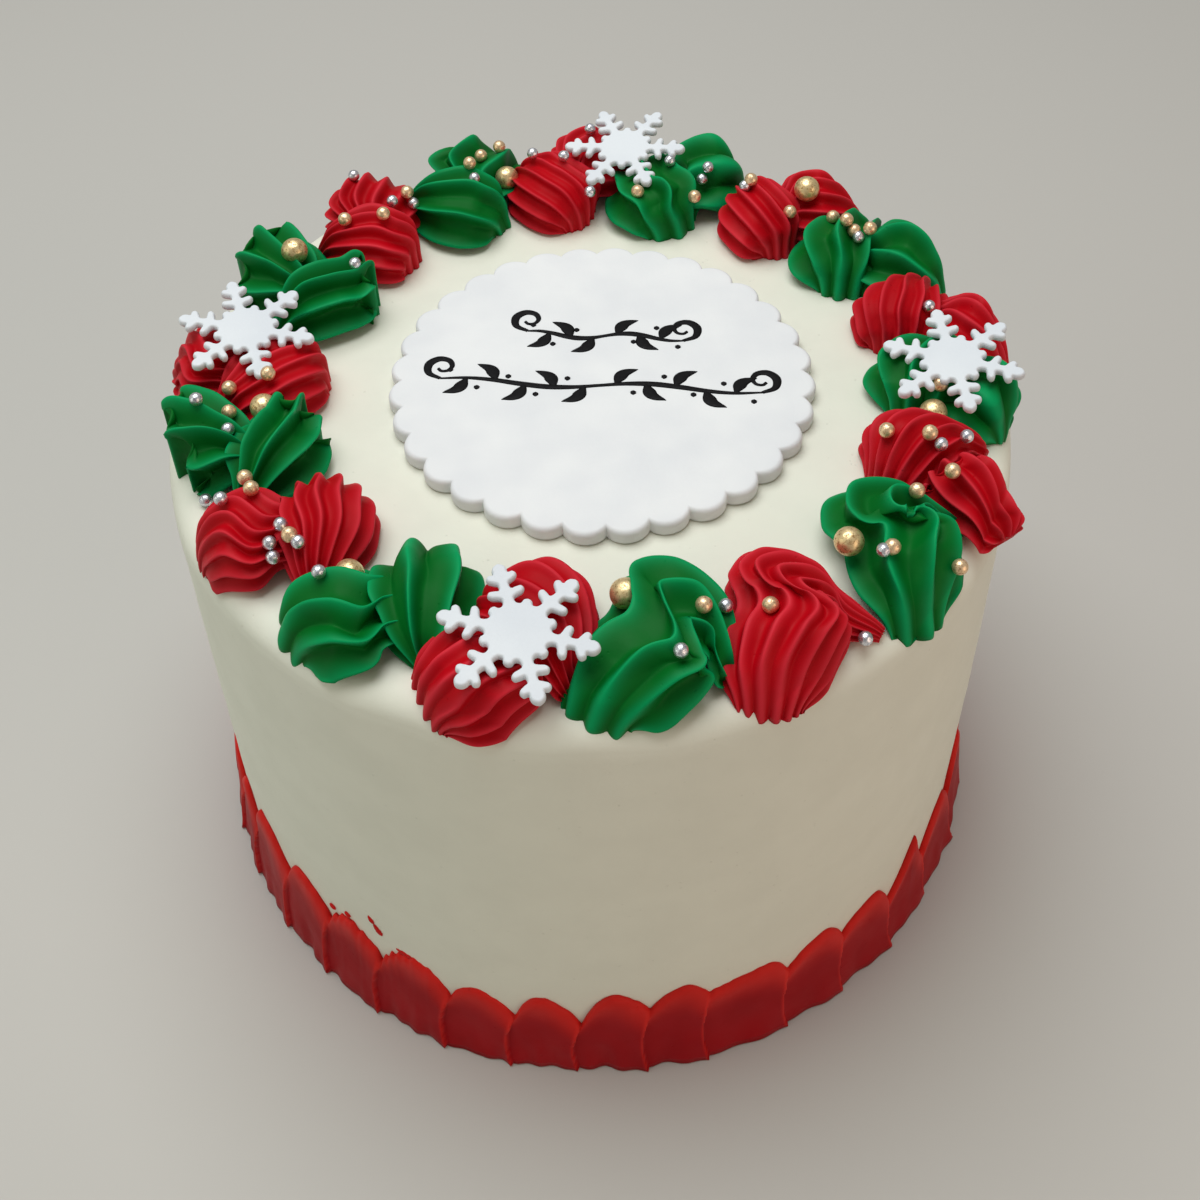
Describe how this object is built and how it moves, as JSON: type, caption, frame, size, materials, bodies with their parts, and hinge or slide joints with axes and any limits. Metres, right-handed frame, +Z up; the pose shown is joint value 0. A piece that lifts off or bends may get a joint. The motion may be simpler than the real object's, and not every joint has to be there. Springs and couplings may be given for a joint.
{
  "type": "christmas cake",
  "caption": "Tall round buttercream cake with a ring of piped swirls, sugar pearls, snowflakes, a scalloped plaque and a red petal band round its foot.",
  "frame": {"origin": "middle of the flat underside of the cake", "axes": "+Z up; -Y towards the side that faces the viewer, with the plaque's foot towards -Y; +X to the viewer's right"},
  "size_m": [0.2265, 0.226, 0.1593],
  "materials": {
    "cream_buttercream": "smooth ivory buttercream, soft satin",
    "band_buttercream": "deep red buttercream spread with a knife, satin",
    "white_fondant": "white rolled fondant, matt",
    "red_buttercream": "piped red buttercream, soft satin",
    "green_buttercream": "piped green buttercream, soft satin",
    "gold_pearl": "gold sugar pearl, worn metallic lustre"
  },
  "bodies": {
    "root": {"cake_body": "cream_buttercream", "base_border": "band_buttercream", "plaque": "white_fondant", "swirl_01_red": "red_buttercream", "swirl_02_green": "green_buttercream", "swirl_03_red": "red_buttercream", "swirl_04_green": "green_buttercream", "swirl_05_red": "red_buttercream", "swirl_06_green": "green_buttercream", "swirl_07_red": "red_buttercream", "swirl_08_green": "green_buttercream", "swirl_09_red": "red_buttercream", "swirl_10_green": "green_buttercream", "swirl_11_red": "red_buttercream", "swirl_12_green": "green_buttercream", "swirl_13_red": "red_buttercream", "swirl_14_green": "green_buttercream", "swirl_15_red": "red_buttercream", "swirl_16_green": "green_buttercream", "swirl_17_red": "red_buttercream", "swirl_18_green": "green_buttercream", "snowflake_1": "white_fondant", "snowflake_2": "white_fondant", "snowflake_3": "white_fondant", "snowflake_4": "white_fondant", "gold_pearl_1": "gold_pearl", "gold_pearl_2": "gold_pearl", "gold_pearl_3": "gold_pearl", "gold_pearl_4": "gold_pearl", "gold_pearl_5": "gold_pearl", "gold_pearl_6": "gold_pearl", "gold_pearl_7": "gold_pearl", "gold_pearl_8": "gold_pearl"}
  },
  "joints": []
}
